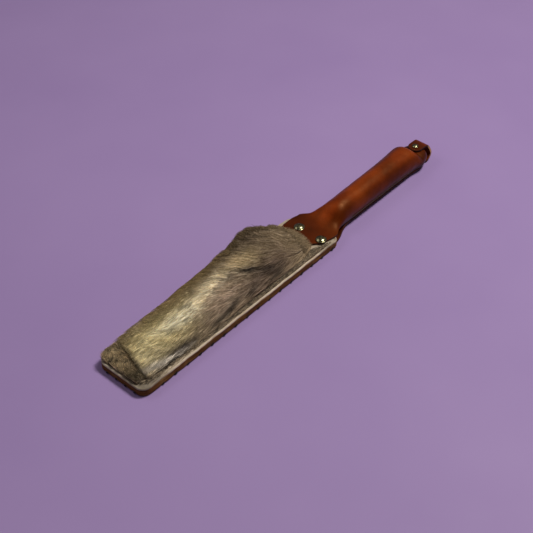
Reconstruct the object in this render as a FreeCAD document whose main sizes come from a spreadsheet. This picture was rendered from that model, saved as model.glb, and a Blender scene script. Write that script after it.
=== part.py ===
"""Fly swatter: a fur-faced leather blade with a leather-wrapped handle and a riveted hanging loop.

+X runs from the blade's tip to the hanging loop, +Y to the blade's left side, +Z up.  The swatter lies
on its sole: the origin is the middle of its length and width, on the surface that it lies on.
All sizes are in millimetres.
"""

import FreeCAD, Part
import math
import os
import re

import Sketcher

SIZES = {
    # whole swatter
    "overall_length": 426.0,
    # blade: two plies of sole leather and the hide, one outline
    "blade_length": 256.4,
    "blade_width": 56.2,
    "tip_radius": 9.0,
    "shoulder_radius_right": 6.0,
    "shoulder_radius_left": 17.0,
    "outer_sole_thickness": 4.2,
    "inner_sole_thickness": 2.8,
    "hide_thickness": 1.6,
    "hide_inset": 0.3,
    "tang_width": 12.0,
    "tang_length": 42.0,
    "tang_root": 4.0,
    # thread loops along the sole's lower edge
    "stitch_pitch": 14.9,
    "stitch_start": 22.4,
    "stitch_reach": 3.5,
    "stitch_width": 1.5,
    "stitch_height": 1.4,
    "stitch_end_room": 8.0,
    "tip_stitch_pitch": 11.0,
    # fur
    "fur_right_edge": -24.0,
    "fur_left_edge": 27.0,
    "fur_parting": 24.5,
    "tip_fur_height": 4.6,
    "tip_fur_start": 2.0,
    "tip_fur_right_inset": 2.0,
    "fur_gap": 0.2,
    # handle
    "handle_offset": -5.0,
    "handle_radius": 13.7,
    "tube_widening": 0.3,
    "leather_thickness": 2.4,
    "core_clearance": 0.1,
    "lap_clearance": 0.5,
    "neck_length": 28.0,
    "tube_length": 110.0,
    "butt_length": 24.0,
    "butt_half_height": 8.1,
    "butt_bottom": 2.2,
    "tab_half_width": 23.6,
    "tab_offset": -0.8,
    "tab_nose": 40.4,
    "tab_clearance": 0.1,
    "fin_thickness": 4.4,
    "fin_bottom": 3.2,
    "fin_edge": -18.5,
    "fin_depth": 5.3,
    "fin_run_out": 2.0,
    "seam_pitch": 4.4,
    "seam_start": 5.0,
    "seam_upper_overhang": 0.3,
    "seam_lower_inset": 1.8,
    "seam_stitch_length": 3.2,
    "thread_width": 0.8,
    # rivets through the blade
    "flare_rivet_setback": 15.2,
    "flare_rivet_spacing": 26.8,
    "flare_rivet_centre": -4.6,
    "flare_cap_radius": 5.3,
    "flare_cap_height": 2.8,
    "flare_post_radius": 1.8,
    # loop and its rivet
    "butt_rivet_setback": 16.8,
    "butt_cap_radius": 3.3,
    "butt_cap_height": 1.9,
    "butt_post_radius": 1.4,
    "rivet_base_thickness": 1.1,
    "rivet_base_inset": 0.7,
    "rivet_seat_inset": 0.6,
    "rivet_seat_gap": 0.1,
    "post_clearance": 0.05,
    "strap_width": 14.6,
    "strap_thickness": 2.05,
    "strap_gap": 0.15,
    "strap_tail": 7.0,
    "strap_fold_radius": 6.0,
}

# values worked out from the driving sizes
DERIVED = {
    "tip": "-overall_length / 2",
    "shoulder": "tip + blade_length",
    "edge": "blade_width / 2",
    "sole_top": "outer_sole_thickness + inner_sole_thickness",
    "hide_top": "sole_top + hide_thickness",
    "tab_top": "hide_top + leather_thickness",
    "neck_end": "shoulder + neck_length",
    "tube_end": "neck_end + tube_length",
    "butt_end": "tube_end + butt_length",
    "butt_centre": "butt_bottom + butt_half_height",
    "butt_top": "butt_centre + butt_half_height",
    "tube_half_width": "handle_radius + tube_widening",
    "flare_rivet_x": "shoulder - flare_rivet_setback",
    "butt_rivet_x": "overall_length / 2 - butt_rivet_setback",
    "strap_under": "butt_top + strap_gap",
    "strap_top": "strap_under + strap_thickness",
    "strap_start": "butt_rivet_x - strap_tail",
}

# cross-sections of the leather: place along X, half width, half height, middle in Y and middle in Z.
# Each is a slot shape, so the half width stays a little larger than the half height.
NECK_SECTIONS = [
    ("shoulder", "tab_half_width", "tab_top / 2", "tab_offset", "tab_top / 2"),
    ("shoulder + 0.32 * neck_length", "19.6", "7.9", "-2.4", "7.9"),
    ("shoulder + 0.65 * neck_length", "15.9", "11.6", "-4.0", "11.6"),
    ("neck_end", "tube_half_width", "handle_radius", "handle_offset", "handle_radius"),
]
TUBE_SECTIONS = [
    ("neck_end", "tube_half_width", "handle_radius", "handle_offset", "handle_radius"),
    ("tube_end", "tube_half_width", "handle_radius", "handle_offset", "handle_radius"),
]
BUTT_SECTIONS = [
    ("tube_end", "tube_half_width", "handle_radius", "handle_offset", "handle_radius"),
    ("butt_end - 0.78 * butt_length", "14.8", "butt_half_height + 1.6", "handle_offset",
     "butt_centre + 0.8"),
    ("butt_end - 0.70 * butt_length", "15.2", "butt_half_height", "handle_offset", "butt_centre"),
    ("butt_end - 0.32 * butt_length", "13.8", "butt_half_height", "handle_offset", "butt_centre"),
    ("butt_end - 0.12 * butt_length", "11.0", "butt_half_height - 1.1", "handle_offset", "butt_centre"),
    ("butt_end", "6.6", "butt_half_height - 3.4", "handle_offset", "butt_centre"),
]

# the fur's hump: place from the tip, height above the hide, narrowing at each side
FUR_SECTIONS = [
    ("fur_parting", 6.5, 0.0),
    ("60", 8.5, 0.0),
    ("115", 10.5, 0.0),
    ("155", 15.0, 0.0),
    ("188", 19.5, 0.0),
    ("206", 15.0, 1.5),
    ("222", 6.0, 8.0),
]

# places of the thread loops across the tip, in pitches from the blade's middle
TIP_STITCHES = (-1.5, -0.5, 0.5, 1.5)

# a rivet cap's straight rim and its blind hole, and the post in that hole, as shares of the cap's height
RIM_SHARE = 0.25
BORE_SHARE = 0.6
POST_SHARE = 0.58

# how far a cutting shape runs past the surface that it opens
OVERRUN = 2
# least volume and closest distance that count, in cubic millimetres and millimetres
LEAST_CUT = 0.01
SAME_PLACE = 0.01

doc = FreeCAD.newDocument("fly_swatter")
sheet = doc.addObject("Spreadsheet::Sheet", "Dimensions")
nodes = []


def write_sheet():
    """Put the driving sizes, then the worked-out ones, in the sheet, one alias a row."""
    row = 1
    for table in (SIZES, DERIVED):
        for alias, content in table.items():
            sheet.set(f"A{row}", alias)
            sheet.set(f"B{row}", str(content) if table is SIZES else f"={content}")
            sheet.setAlias(f"B{row}", alias)
            row += 1
    doc.recompute()


def bound(expression):
    """Rewrite an expression of aliases so that an object outside the sheet can use it."""
    return re.sub(r"[a-z]\w*", lambda word: f"Dimensions.{word.group()}", expression)


def number(expression):
    """The value that an expression of aliases has now."""
    return float(sheet.evalExpression(expression))


def new_body(label):
    body = doc.addObject("PartDesign::Body", label)
    body.Label = label
    nodes.append(body)
    return body


def new_sketch(body, role, offset="0"):
    """Sketch on one of the body's own origin planes, moved along its normal by the offset."""
    sketch = body.newObject("Sketcher::SketchObject", f"{body.Label}_sketch")
    plane = next(f for f in body.Origin.OriginFeatures if f.Role == role)
    sketch.AttachmentSupport = [(plane, "")]
    sketch.MapMode = "FlatFace"
    sketch.setExpression("AttachmentOffset.Base.z", bound(offset))
    return sketch


def fix(sketch, kind, geometry, point, expression):
    """Hold one point's DistanceX or DistanceY from the sketch's origin at an expression."""
    index = sketch.addConstraint(
        Sketcher.Constraint(kind, -1, 1, geometry, point, number(expression)))
    sketch.setExpression(f"Constraints[{index}]", bound(expression))


def fix_radius(sketch, geometry, expression):
    index = sketch.addConstraint(Sketcher.Constraint("Radius", geometry, number(expression)))
    sketch.setExpression(f"Constraints[{index}]", bound(expression))


def rectangle(sketch, left, right, low, high):
    """Rectangle with its four sides at the given expressions."""
    x0, x1, y0, y1 = (number(side) for side in (left, right, low, high))
    corners = [FreeCAD.Vector(x, y, 0) for x, y in ((x0, y0), (x1, y0), (x1, y1), (x0, y1))]
    first = sketch.GeometryCount
    for index in range(4):
        sketch.addGeometry(Part.LineSegment(corners[index], corners[(index + 1) % 4]))
    for index in range(4):
        sketch.addConstraint(
            Sketcher.Constraint("Coincident", first + index, 2, first + (index + 1) % 4, 1))
    for index, kind in enumerate(("Horizontal", "Vertical", "Horizontal", "Vertical")):
        sketch.addConstraint(Sketcher.Constraint(kind, first + index))
    fix(sketch, "DistanceX", first, 1, left)
    fix(sketch, "DistanceY", first, 1, low)
    fix(sketch, "DistanceX", first + 2, 1, right)
    fix(sketch, "DistanceY", first + 2, 1, high)


def circle(sketch, across, up, radius):
    centre = FreeCAD.Vector(number(across), number(up), 0)
    index = sketch.addGeometry(
        Part.Circle(centre, FreeCAD.Vector(0, 0, 1), number(radius)))
    fix(sketch, "DistanceX", index, 3, across)
    fix(sketch, "DistanceY", index, 3, up)
    fix_radius(sketch, index, radius)


def slot(sketch, half_width, half_height, across, up):
    """Slot shape, longer across than up: two half circles joined by two straight sides."""
    a, b, y, z = (number(size) for size in (half_width, half_height, across, up))
    reach = a - b
    normal = FreeCAD.Vector(0, 0, 1)
    right = Part.ArcOfCircle(Part.Circle(FreeCAD.Vector(y + reach, z, 0), normal, b),
                             -math.pi / 2, math.pi / 2)
    left = Part.ArcOfCircle(Part.Circle(FreeCAD.Vector(y - reach, z, 0), normal, b),
                            math.pi / 2, 3 * math.pi / 2)
    top = Part.LineSegment(FreeCAD.Vector(y + reach, z + b, 0), FreeCAD.Vector(y - reach, z + b, 0))
    bottom = Part.LineSegment(FreeCAD.Vector(y - reach, z - b, 0), FreeCAD.Vector(y + reach, z - b, 0))
    for piece in (right, top, left, bottom):
        sketch.addGeometry(piece)
    for index in range(4):
        sketch.addConstraint(Sketcher.Constraint("Coincident", index, 2, (index + 1) % 4, 1))
    for index in (0, 2):
        sketch.addConstraint(Sketcher.Constraint("Vertical", index, 1, index, 3))
        sketch.addConstraint(Sketcher.Constraint("Vertical", index, 2, index, 3))
        fix_radius(sketch, index, half_height)
        fix(sketch, "DistanceY", index, 3, up)
    fix(sketch, "DistanceX", 0, 3, f"{across} + ( {half_width} ) - ( {half_height} )")
    fix(sketch, "DistanceX", 2, 3, f"{across} - ( {half_width} ) + ( {half_height} )")


def hump(sketch, right, left, base, height):
    """A flat base with one low arc over it."""
    y0, y1, z0, rise = (number(size) for size in (right, left, base, height))
    radius = f"( ( ( {left} ) - ( {right} ) ) ^ 2 / 4 + ( {height} ) ^ 2 ) / ( 2 * ( {height} ) )"
    ends = FreeCAD.Vector(y0, z0, 0), FreeCAD.Vector(y1, z0, 0)
    sketch.addGeometry(Part.LineSegment(*ends))
    sketch.addGeometry(Part.Arc(ends[1], FreeCAD.Vector((y0 + y1) / 2, z0 + rise, 0), ends[0]))
    sketch.addConstraint(Sketcher.Constraint("Coincident", 0, 1, 1, 2))
    sketch.addConstraint(Sketcher.Constraint("Coincident", 0, 2, 1, 1))
    fix(sketch, "DistanceX", 0, 1, right)
    fix(sketch, "DistanceY", 0, 1, base)
    fix(sketch, "DistanceX", 0, 2, left)
    fix(sketch, "DistanceY", 0, 2, base)
    fix_radius(sketch, 1, radius)


def tab_outline(sketch, margin="0"):
    """Shield shape of a handle tab: a half circle at the nose, straight sides to the shoulder."""
    half = f"tab_half_width + {margin}"
    start = "shoulder - tab_nose + tab_half_width"
    radius, x, y, end = number(half), number(start), number("tab_offset"), number("shoulder")
    normal = FreeCAD.Vector(0, 0, 1)
    nose = Part.ArcOfCircle(Part.Circle(FreeCAD.Vector(x, y, 0), normal, radius),
                            math.pi / 2, 3 * math.pi / 2)
    corners = [FreeCAD.Vector(*c, 0) for c in
               ((x, y - radius), (end, y - radius), (end, y + radius), (x, y + radius))]
    sketch.addGeometry(nose)
    for first, last in zip(corners, corners[1:]):
        sketch.addGeometry(Part.LineSegment(first, last))
    for index in range(4):
        sketch.addConstraint(Sketcher.Constraint("Coincident", index, 2, (index + 1) % 4, 1))
    sketch.addConstraint(Sketcher.Constraint("Vertical", 0, 1, 0, 3))
    sketch.addConstraint(Sketcher.Constraint("Vertical", 0, 2, 0, 3))
    sketch.addConstraint(Sketcher.Constraint("Horizontal", 1))
    sketch.addConstraint(Sketcher.Constraint("Horizontal", 3))
    sketch.addConstraint(Sketcher.Constraint("Vertical", 2))
    fix(sketch, "DistanceX", 0, 3, start)
    fix(sketch, "DistanceY", 0, 3, "tab_offset")
    fix_radius(sketch, 0, half)
    fix(sketch, "DistanceX", 2, 1, "shoulder")


def pad(body, sketch, length, reverse=False):
    feature = body.newObject("PartDesign::Pad", f"{body.Label}_pad")
    feature.Profile = sketch
    feature.setExpression("Length", bound(length))
    feature.Reversed = reverse
    doc.recompute()
    return feature


def pocket(body, sketch, depth, reverse=False):
    """Cut the sketch away over a depth and make sure that something was removed."""
    before = body.Tip.Shape.Volume
    feature = body.newObject("PartDesign::Pocket", f"{body.Label}_pocket")
    feature.Profile = sketch
    feature.setExpression("Length", bound(depth))
    feature.Reversed = reverse
    doc.recompute()
    if feature.Shape.Volume > before - LEAST_CUT:
        raise RuntimeError(f"{feature.Label} removes nothing")
    return feature


def round_edges(body, chosen, radius, name):
    """Fillet the edges that the chosen test accepts."""
    base = body.Tip
    edges = [f"Edge{index + 1}" for index, edge in enumerate(base.Shape.Edges) if chosen(edge)]
    feature = body.newObject("PartDesign::Fillet", f"{body.Label}_{name}")
    feature.Base = (base, edges)
    feature.setExpression("Radius", bound(radius))
    doc.recompute()
    return feature


def upright(x, y):
    """Test for the straight upright edge that stands at x, y."""
    def chosen(edge):
        ends = [vertex.Point for vertex in edge.Vertexes]
        return len(ends) == 2 and all(math.hypot(end.x - x, end.y - y) < SAME_PLACE for end in ends)
    return chosen


def loft(body, sections, shrink="0", cut=False):
    """Loft the leather's slot sections, each made smaller all round by the shrink."""
    sketches = []
    for place, half_width, half_height, across, up in sections:
        sketch = new_sketch(body, "YZ_Plane", place)
        slot(sketch, f"{half_width} - {shrink}", f"{half_height} - {shrink}", across, up)
        sketches.append(sketch)
    kind = "PartDesign::SubtractiveLoft" if cut else "PartDesign::AdditiveLoft"
    feature = body.newObject(kind, f"{body.Label}_loft")
    feature.Profile = sketches[0]
    feature.Sections = sketches[1:]
    feature.Ruled = True
    doc.recompute()
    return feature


def group(label, solids):
    """One node made of separate equal solids."""
    compound = doc.addObject("Part::Compound", label)
    compound.Label = label
    compound.Links = solids
    nodes.append(compound)
    return compound


def block(name, length, width, height, x, y, z):
    """Box with its lowest corner at x, y, z."""
    box = doc.addObject("Part::Box", name)
    for prop, size in (("Length", length), ("Width", width), ("Height", height)):
        box.setExpression(prop, bound(size))
    for axis, place in (("x", x), ("y", y), ("z", z)):
        box.setExpression(f"Placement.Base.{axis}", bound(place))
    return box


def blade_ply(label, thickness, bottom, inset="0"):
    """One ply with the blade's outline: square tip corners rounded, each shoulder its own radius."""
    body = new_body(label)
    sketch = new_sketch(body, "XY_Plane", bottom)
    rectangle(sketch, f"tip + {inset}", f"shoulder - {inset}", f"-edge + {inset}", f"edge - {inset}")
    pad(body, sketch, thickness)
    x0, x1, y1 = number(f"tip + {inset}"), number(f"shoulder - {inset}"), number(f"edge - {inset}")
    for x, y, radius, name in ((x0, -y1, "tip_radius", "tip_right"), (x0, y1, "tip_radius", "tip_left"),
                               (x1, -y1, "shoulder_radius_right", "shoulder_right"),
                               (x1, y1, "shoulder_radius_left", "shoulder_left")):
        round_edges(body, upright(x, y), radius, name)
    return body


RIVET_SIDES = {"right": "flare_rivet_centre - flare_rivet_spacing / 2",
               "left": "flare_rivet_centre + flare_rivet_spacing / 2"}


def rivet_holes(body, bottom, depth):
    """Holes for the two posts that hold the handle's tabs on the blade."""
    sketch = new_sketch(body, "XY_Plane", bottom)
    for across in RIVET_SIDES.values():
        circle(sketch, "flare_rivet_x", across, "flare_post_radius + post_clearance")
    pocket(body, sketch, depth, reverse=True)


def side_stitch_count():
    return int(number("( blade_length - stitch_start - stitch_end_room ) / stitch_pitch")) + 1


def stitch_places():
    """Lowest corner of each of the sole's thread loops and its lengths along X and Y."""
    half = "stitch_width / 2"
    for index in range(side_stitch_count()):
        for across in ("-edge", "edge - stitch_reach"):
            yield (f"tip + stitch_start + {index} * stitch_pitch - {half}", across,
                   "stitch_width", "stitch_reach")
    for index in TIP_STITCHES:
        yield "tip", f"{index} * tip_stitch_pitch - {half}", "stitch_reach", "stitch_width"


def make_outer_sole():
    """Lower ply: skived underneath for the handle's lower tab, grooved for the thread loops."""
    body = blade_ply("outer_sole", "outer_sole_thickness", "0")
    skive = new_sketch(body, "XY_Plane")
    tab_outline(skive, "tab_clearance")
    pocket(body, skive, "leather_thickness", reverse=True)
    rivet_holes(body, "0", "outer_sole_thickness")

    grooves = list(stitch_places())
    pair, tip = grooves[:2], grooves[-len(TIP_STITCHES):]
    for chosen in (tip, pair):
        sketch = new_sketch(body, "XY_Plane")
        for x, y, length, width in chosen:
            rectangle(sketch, x, f"{x} + {length}", y, f"{y} + {width}")
        feature = pocket(body, sketch, "stitch_height", reverse=True)
    row = body.newObject("PartDesign::LinearPattern", "groove_row")
    row.Originals = [feature]
    row.Direction = (sketch, ["H_Axis"])
    row.Occurrences = side_stitch_count()
    row.setExpression("Length", bound(f"{side_stitch_count() - 1} * stitch_pitch"))
    body.Tip = row
    doc.recompute()


def make_sole_stitches():
    """Waxed thread in the grooves, one short loop at each."""
    loops = [block(f"sole_stitch_{index}", length, width, "stitch_height", x, y, "0")
             for index, (x, y, length, width) in enumerate(stitch_places())]
    group("sole_stitches", loops)


def make_inner_sole():
    """Upper ply: its tang runs on past the shoulder, under the handle's core."""
    body = blade_ply("inner_sole", "inner_sole_thickness", "outer_sole_thickness")
    tang = new_sketch(body, "XY_Plane", "outer_sole_thickness")
    rectangle(tang, "shoulder - tang_root", "shoulder + tang_length",
              "handle_offset - tang_width / 2", "handle_offset + tang_width / 2")
    pad(body, tang, "inner_sole_thickness")
    rivet_holes(body, "outer_sole_thickness", "inner_sole_thickness")


def make_hide():
    body = blade_ply("hide_backing", "hide_thickness", "sole_top", "hide_inset")
    rivet_holes(body, "sole_top", "hide_thickness")


def make_fur():
    """Two soft solids: the long pile with its hump towards the handle, and the short pile at the tip."""
    body = new_body("fur_main")
    sketches = []
    for place, height, narrowing in FUR_SECTIONS:
        sketch = new_sketch(body, "YZ_Plane", f"tip + {place}")
        hump(sketch, f"fur_right_edge + {narrowing}", f"fur_left_edge - {narrowing}", "hide_top",
             str(height))
        sketches.append(sketch)
    feature = body.newObject("PartDesign::AdditiveLoft", "fur_loft")
    feature.Profile = sketches[0]
    feature.Sections = sketches[1:]
    feature.Ruled = True
    doc.recompute()
    under_tab = new_sketch(body, "XY_Plane", "hide_top")
    tab_outline(under_tab, "tab_clearance")
    pocket(body, under_tab, "leather_thickness + tab_clearance", reverse=True)

    body = new_body("fur_tip")
    sketch = new_sketch(body, "XY_Plane", "hide_top")
    rectangle(sketch, "tip + tip_fur_start", "tip + fur_parting - fur_gap",
              "fur_right_edge + tip_fur_right_inset", "fur_left_edge")
    pad(body, sketch, "tip_fur_height")
    front = number("tip + tip_fur_start")
    right = number("fur_right_edge + tip_fur_right_inset")
    round_edges(body, upright(front, right), "tip_radius", "corner_right")
    round_edges(body, upright(front, number("fur_left_edge")), "tip_radius", "corner_left")


def make_handle_leather():
    """One hide of leather: tube, closed butt, stitched fin, and the two tabs that grip the blade."""
    body = new_body("handle_leather")
    for sections in (TUBE_SECTIONS, NECK_SECTIONS, BUTT_SECTIONS):
        loft(body, sections)
    fin = new_sketch(body, "YZ_Plane", "neck_end + fin_run_out")
    rectangle(fin, "fin_edge", "fin_edge + fin_depth", "fin_bottom", "fin_bottom + fin_thickness")
    pad(body, fin, "tube_length - 2 * fin_run_out")
    for bottom in ("0", "hide_top"):
        tab = new_sketch(body, "XY_Plane", bottom)
        tab_outline(tab)
        pad(body, tab, "leather_thickness")
    hollow = BUTT_SECTIONS[:-1]
    for sections in (TUBE_SECTIONS, NECK_SECTIONS, hollow):
        loft(body, sections, "leather_thickness", cut=True)
    rivet_holes(body, "0", "tab_top")
    seats = new_sketch(body, "XY_Plane")
    for across in RIVET_SIDES.values():
        circle(seats, "flare_rivet_x", across, "flare_cap_radius - rivet_seat_inset")
    pocket(body, seats, "rivet_base_thickness", reverse=True)
    butt_hole = new_sketch(body, "XY_Plane")
    circle(butt_hole, "butt_rivet_x", "handle_offset", "butt_post_radius + post_clearance")
    pocket(body, butt_hole, f"butt_top + {OVERRUN}", reverse=True)


def make_handle_core():
    """Turned wooden core, flattened at the butt and lapped at the front to lie on the blade's tang."""
    body = new_body("handle_core")
    gap = "leather_thickness - core_clearance"
    for sections in (TUBE_SECTIONS, NECK_SECTIONS[2:], BUTT_SECTIONS[:-1]):
        loft(body, sections, gap)
    lap = new_sketch(body, "XY_Plane")
    rectangle(lap, "shoulder", "shoulder + tang_length + lap_clearance", "-edge", "edge")
    pocket(body, lap, "sole_top + post_clearance", reverse=True)
    butt_hole = new_sketch(body, "XY_Plane")
    circle(butt_hole, "butt_rivet_x", "handle_offset", "butt_post_radius + post_clearance")
    pocket(body, butt_hole, f"butt_top + {OVERRUN}", reverse=True)


def make_seam_stitches():
    """Thread of the handle's fin: a row on its upper face and one on its lower face."""
    rows = (("upper", "fin_edge - seam_upper_overhang", "fin_bottom + fin_thickness"),
            ("lower", "fin_edge + seam_lower_inset", "fin_bottom - thread_width / 2"))
    count = int(number("( tube_length - 2 * seam_start - fin_run_out ) / seam_pitch"))
    stitches = []
    for name, across, up in rows:
        for index in range(count):
            along = f"neck_end + seam_start + {index} * seam_pitch"
            stitches.append(block(f"seam_stitch_{name}_{index}", "seam_stitch_length", "thread_width",
                                  "thread_width / 2", along, across, up))
    group("seam_stitches", stitches)


def dome_profile(sketch, radius, bore, seat, height):
    """Half section of a rivet cap: domed top, thin straight rim and a blind hole for the post."""
    r, b, z, rise = (number(size) for size in (radius, bore, seat, height))
    rim = RIM_SHARE * rise
    points = [FreeCAD.Vector(*p, 0) for p in
              ((b, z), (r, z), (r, z + rim), (0, z + rise), (0, z + BORE_SHARE * rise),
               (b, z + BORE_SHARE * rise))]
    sphere = (r ** 2 + (rise - rim) ** 2) / (2 * (rise - rim))
    shoulder = FreeCAD.Vector(r / 2, z + rise - sphere + math.sqrt(sphere ** 2 - r ** 2 / 4), 0)
    sketch.addGeometry(Part.LineSegment(points[0], points[1]))
    sketch.addGeometry(Part.LineSegment(points[1], points[2]))
    sketch.addGeometry(Part.Arc(points[2], shoulder, points[3]))
    for first, last in ((3, 4), (4, 5), (5, 0)):
        sketch.addGeometry(Part.LineSegment(points[first], points[last]))
    for index in range(6):
        sketch.addConstraint(Sketcher.Constraint("Coincident", index, 2, (index + 1) % 6, 1))
    fix(sketch, "DistanceX", 0, 1, bore)
    fix(sketch, "DistanceY", 0, 1, seat)
    fix(sketch, "DistanceX", 0, 2, radius)
    fix(sketch, "DistanceY", 0, 2, seat)
    fix(sketch, "DistanceX", 2, 1, radius)
    fix(sketch, "DistanceY", 2, 1, f"{seat} + {RIM_SHARE} * {height}")
    fix(sketch, "DistanceY", 3, 1, f"{seat} + {height}")
    for geometry, point in ((2, 3), (3, 1), (4, 1)):
        sketch.addConstraint(Sketcher.Constraint("PointOnObject", geometry, point, -2))
    fix(sketch, "DistanceY", 4, 1, f"{seat} + {BORE_SHARE} * {height}")
    fix(sketch, "DistanceX", 5, 1, bore)
    fix(sketch, "DistanceY", 5, 1, f"{seat} + {BORE_SHARE} * {height}")


def turned(body, sketch):
    """Turn a half section about the sketch's upright axis."""
    feature = body.newObject("PartDesign::Revolution", f"{body.Label}_turn")
    feature.Profile = sketch
    feature.ReferenceAxis = (sketch, ["V_Axis"])
    feature.Angle = 360
    doc.recompute()


def stand(body, x, y):
    """Move a turned piece from the origin to its own axis."""
    body.setExpression("Placement.Base.x", bound(x))
    body.setExpression("Placement.Base.y", bound(y))


def make_rivet(name, x, y, cap_radius, cap_height, post_radius, seat):
    """Double-cap rivet: the domed cap is pressed on the post of the base."""
    cap = new_body(f"{name}_cap")
    sketch = new_sketch(cap, "XZ_Plane")
    dome_profile(sketch, cap_radius, f"{post_radius} + post_clearance", seat, cap_height)
    turned(cap, sketch)
    stand(cap, x, y)

    post = new_body(f"{name}_post")
    base = new_sketch(post, "XY_Plane")
    circle(base, "0", "0", f"{cap_radius} - rivet_base_inset")
    pad(post, base, "rivet_base_thickness")
    shank = new_sketch(post, "XY_Plane")
    circle(shank, "0", "0", post_radius)
    pad(post, shank, f"{seat} + {POST_SHARE} * {cap_height}")
    stand(post, x, y)


def make_rivets():
    for side, across in RIVET_SIDES.items():
        make_rivet(f"flare_rivet_{side}", "flare_rivet_x", across, "flare_cap_radius",
                   "flare_cap_height", "flare_post_radius", "tab_top")
    make_rivet("butt_rivet", "butt_rivet_x", "handle_offset", "butt_cap_radius", "butt_cap_height",
               "butt_post_radius", "strap_top + rivet_seat_gap")


def make_hanging_loop():
    """Strap folded round the butt: both its legs turn on the butt rivet."""
    body = new_body("hanging_loop")
    outer = new_sketch(body, "XZ_Plane", "-handle_offset")
    rectangle(outer, "strap_start", "overall_length / 2", "0", "strap_top")
    feature = pad(body, outer, "strap_width")
    feature.Midplane = True
    doc.recompute()
    inner = new_sketch(body, "XZ_Plane", "-handle_offset")
    rectangle(inner, f"strap_start - {OVERRUN}", "overall_length / 2 - strap_thickness",
              "strap_thickness", "strap_under")
    feature = pocket(body, inner, f"strap_width + {OVERRUN}")
    feature.Midplane = True
    doc.recompute()

    def bend(x):
        def chosen(edge):
            ends = [vertex.Point for vertex in edge.Vertexes]
            return len(ends) == 2 and all(abs(end.x - x) < SAME_PLACE for end in ends) \
                and abs(ends[0].y - ends[1].y) > number("strap_width / 2")
        return chosen

    round_edges(body, bend(number("overall_length / 2")), "strap_fold_radius", "outer_bend")
    round_edges(body, bend(number("overall_length / 2 - strap_thickness")),
                "strap_fold_radius - strap_thickness", "inner_bend")

    def tail_corner(edge):
        ends = [vertex.Point for vertex in edge.Vertexes]
        return len(ends) == 2 and all(abs(end.x - number("strap_start")) < SAME_PLACE for end in ends) \
            and abs(ends[0].z - ends[1].z) > number("strap_thickness / 2")

    round_edges(body, tail_corner, "strap_tail - post_clearance", "tails")
    hole = new_sketch(body, "XY_Plane")
    circle(hole, "butt_rivet_x", "handle_offset", "butt_post_radius + post_clearance")
    pocket(body, hole, f"strap_top + {OVERRUN}", reverse=True)
    seat = new_sketch(body, "XY_Plane")
    circle(seat, "butt_rivet_x", "handle_offset", "butt_cap_radius - rivet_seat_inset")
    pocket(body, seat, "rivet_base_thickness + rivet_seat_gap", reverse=True)


def check_and_write():
    """Stop at the first object that failed, then write each node's shape."""
    for item in doc.Objects:
        if "Invalid" in item.State or "Error" in item.State:
            raise RuntimeError(f"{item.Label} is {item.State}")
    os.makedirs("parts", exist_ok=True)
    for node in nodes:
        if node.Shape.isNull() or not node.Shape.isValid():
            raise RuntimeError(f"{node.Label} has no valid shape")
        node.Shape.exportStep(f"parts/{node.Label}.step")


write_sheet()
make_outer_sole()
make_sole_stitches()
make_inner_sole()
make_hide()
make_fur()
make_handle_leather()
make_handle_core()
make_seam_stitches()
make_rivets()
make_hanging_loop()
doc.recompute()
check_and_write()
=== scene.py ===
"""Looks of the fly swatter: a fur-faced leather blade with a wrapped leather handle and a hanging strap.

Shapes are worked out in millimetres in the CAD frame and scaled to metres when a mesh is made.
+X runs from the blade's tip to the hanging strap, +Y to the far side, +Z up from the sole.
"""

from math import copysign, cos, pi, radians, sin, sqrt

import bpy
import numpy as np
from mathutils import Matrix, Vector, kdtree


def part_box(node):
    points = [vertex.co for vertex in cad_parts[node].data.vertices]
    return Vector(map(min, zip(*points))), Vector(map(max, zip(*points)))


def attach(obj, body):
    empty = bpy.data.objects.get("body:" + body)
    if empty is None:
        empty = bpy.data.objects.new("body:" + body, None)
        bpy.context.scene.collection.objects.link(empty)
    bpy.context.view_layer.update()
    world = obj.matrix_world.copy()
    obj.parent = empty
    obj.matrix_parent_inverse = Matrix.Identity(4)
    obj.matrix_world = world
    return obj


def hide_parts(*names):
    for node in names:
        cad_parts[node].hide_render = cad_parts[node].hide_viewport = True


MM = 0.001

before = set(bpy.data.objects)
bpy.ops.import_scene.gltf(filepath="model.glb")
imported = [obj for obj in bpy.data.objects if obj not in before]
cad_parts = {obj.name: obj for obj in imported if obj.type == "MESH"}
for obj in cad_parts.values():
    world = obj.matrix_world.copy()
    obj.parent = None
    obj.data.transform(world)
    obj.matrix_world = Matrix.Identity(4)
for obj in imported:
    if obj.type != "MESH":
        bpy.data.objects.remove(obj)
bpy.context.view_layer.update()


def box_mm(node):
    low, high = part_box(node)
    return np.array(low) / MM, np.array(high) / MM


SOLE_LOW, SOLE_HIGH = box_mm("outer_sole")
INNER_HIGH = box_mm("inner_sole")[1]

TIP = SOLE_LOW[0]
SHOULDER = SOLE_HIGH[0]
EDGE = SOLE_HIGH[1]
SOLE_JOINT = SOLE_HIGH[2]
SOLE_TOP = INNER_HIGH[2]
HIDE_TOP = box_mm("hide_backing")[1][2]
SHEET = 2.4
TAB_TOP = HIDE_TOP + SHEET


# ---- small maths

def smooth(value, low, high):
    """0 below low, 1 above high, an S curve between."""
    t = np.clip((np.asarray(value, float) - low) / (high - low), 0, 1)
    return t * t * (3 - 2 * t)


def table(x, rows):
    """Value at x of a table of (x, value) rows."""
    places, values = zip(*rows)
    return np.interp(x, places, values)


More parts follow.
